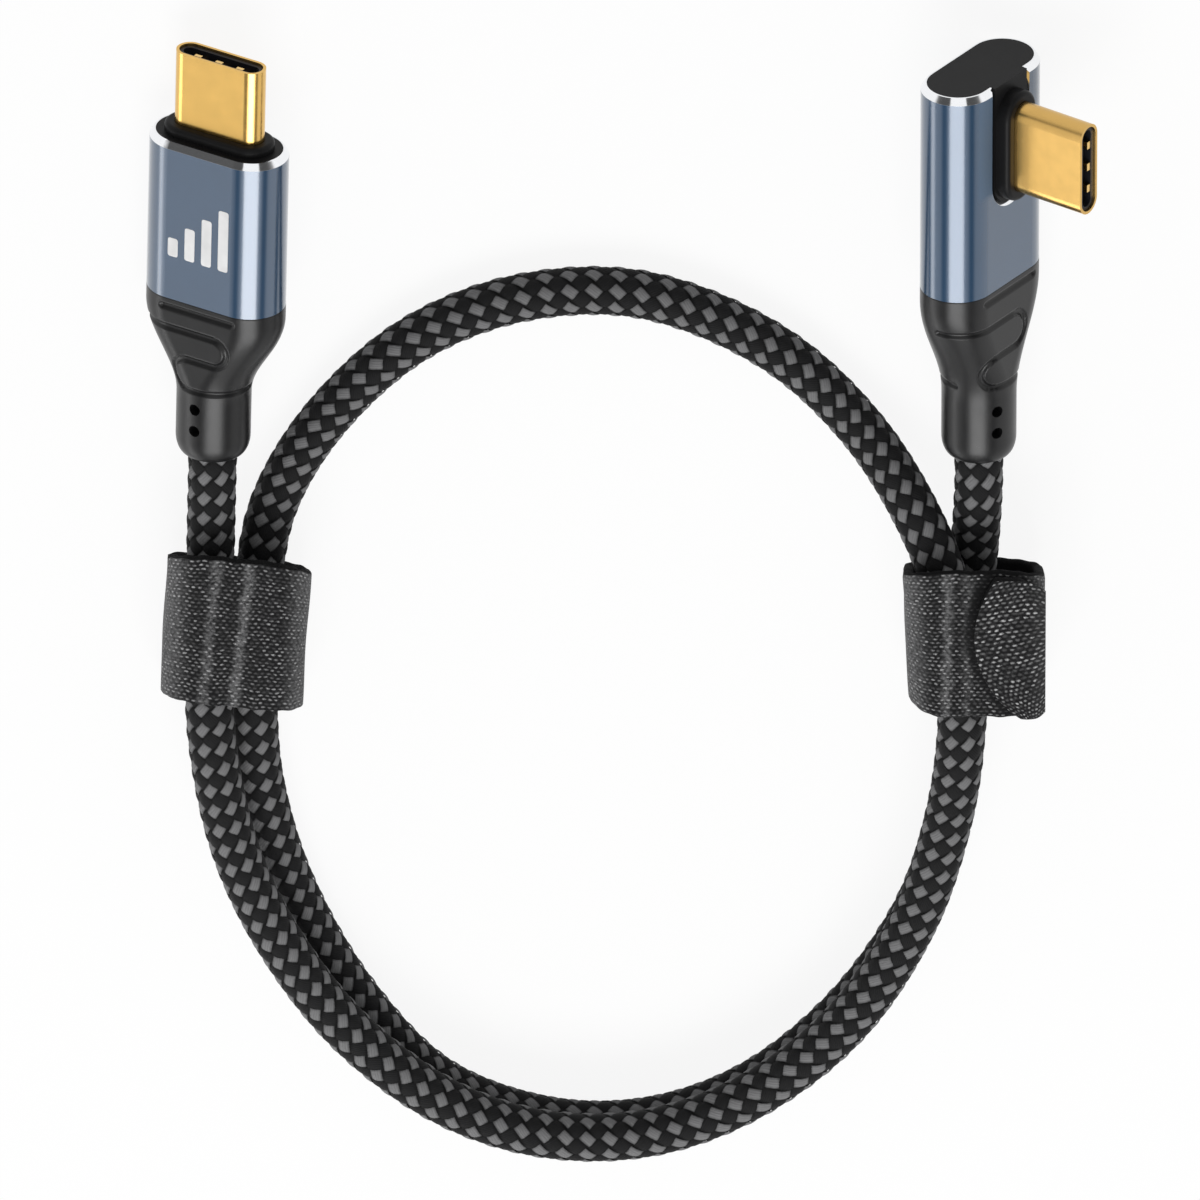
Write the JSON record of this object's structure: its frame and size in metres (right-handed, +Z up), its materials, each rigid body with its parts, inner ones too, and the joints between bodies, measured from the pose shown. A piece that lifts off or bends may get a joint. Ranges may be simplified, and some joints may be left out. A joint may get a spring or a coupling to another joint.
{
  "type": "charging cable",
  "caption": "Short braided charging cable with a straight and a right-angle USB-C plug, coiled and held by two hook-and-loop straps.",
  "frame": {"origin": "on the floor, under the middle of the box round the two plugs and the two straps", "axes": "+X from the straight plug to the right-angle plug, +Y along the plugs towards their tips, +Z up from the floor that the cable lies on"},
  "size_m": [0.0781, 0.104, 0.013],
  "materials": {
    "gold_plate": "bright gold plating on drawn steel",
    "contact_gold": "gold-plated contacts",
    "block_plastic": "matte black",
    "steel": "plain sheet",
    "board": "green solder mask",
    "chip": "moulded package",
    "inner_mould": "unpainted moulding",
    "black_plastic": "satin black",
    "anodised_sleeve": "blue-grey anodising with a polished chamfer",
    "boot_rubber": "satin black",
    "cable_jacket": "smooth",
    "wire_jacket": "smooth",
    "braid": "woven black and grey nylon",
    "strap_fabric": "dark grey hook-and-loop tape"
  },
  "bodies": {
    "cable": {"straight_shell": "gold_plate", "straight_housing": "block_plastic", "straight_contacts": "contact_gold", "straight_springs": "contact_gold", "straight_latch": "steel", "straight_board": "board", "straight_chip": "chip", "straight_can": "steel", "straight_mould": "inner_mould", "straight_nose": "black_plastic", "straight_sleeve": "anodised_sleeve", "straight_boot": "boot_rubber", "straight_crimp": "steel", "straight_cable_end": "cable_jacket", "straight_wires": "wire_jacket", "angled_shell": "gold_plate", "angled_housing": "block_plastic", "angled_contacts": "contact_gold", "angled_springs": "contact_gold", "angled_latch": "steel", "angled_board": "board", "angled_chip": "chip", "angled_mould": "inner_mould", "angled_insert": "black_plastic", "angled_sleeve": "anodised_sleeve", "angled_boot": "boot_rubber", "angled_crimp": "steel", "angled_cable_end": "cable_jacket", "angled_wires": "wire_jacket", "cord": "braid", "left_strap": "strap_fabric", "right_strap": "strap_fabric"},
    "left_tab": {"left_tab": "strap_fabric"},
    "right_tab": {"right_tab": "strap_fabric"}
  },
  "joints": [
    {"name": "left_tab_peel", "type": "hinge", "parent": "cable", "child": "left_tab", "pos_m": [-0.03714, -0.02427, 0.00075], "axis": [0.0523, 0.9986, 0], "range_deg": [0, 150]},
    {"name": "right_tab_peel", "type": "hinge", "parent": "cable", "child": "right_tab", "pos_m": [0.03375, -0.02055, 0.01205], "axis": [0, 1, 0], "range_deg": [0, 150]}
  ]
}
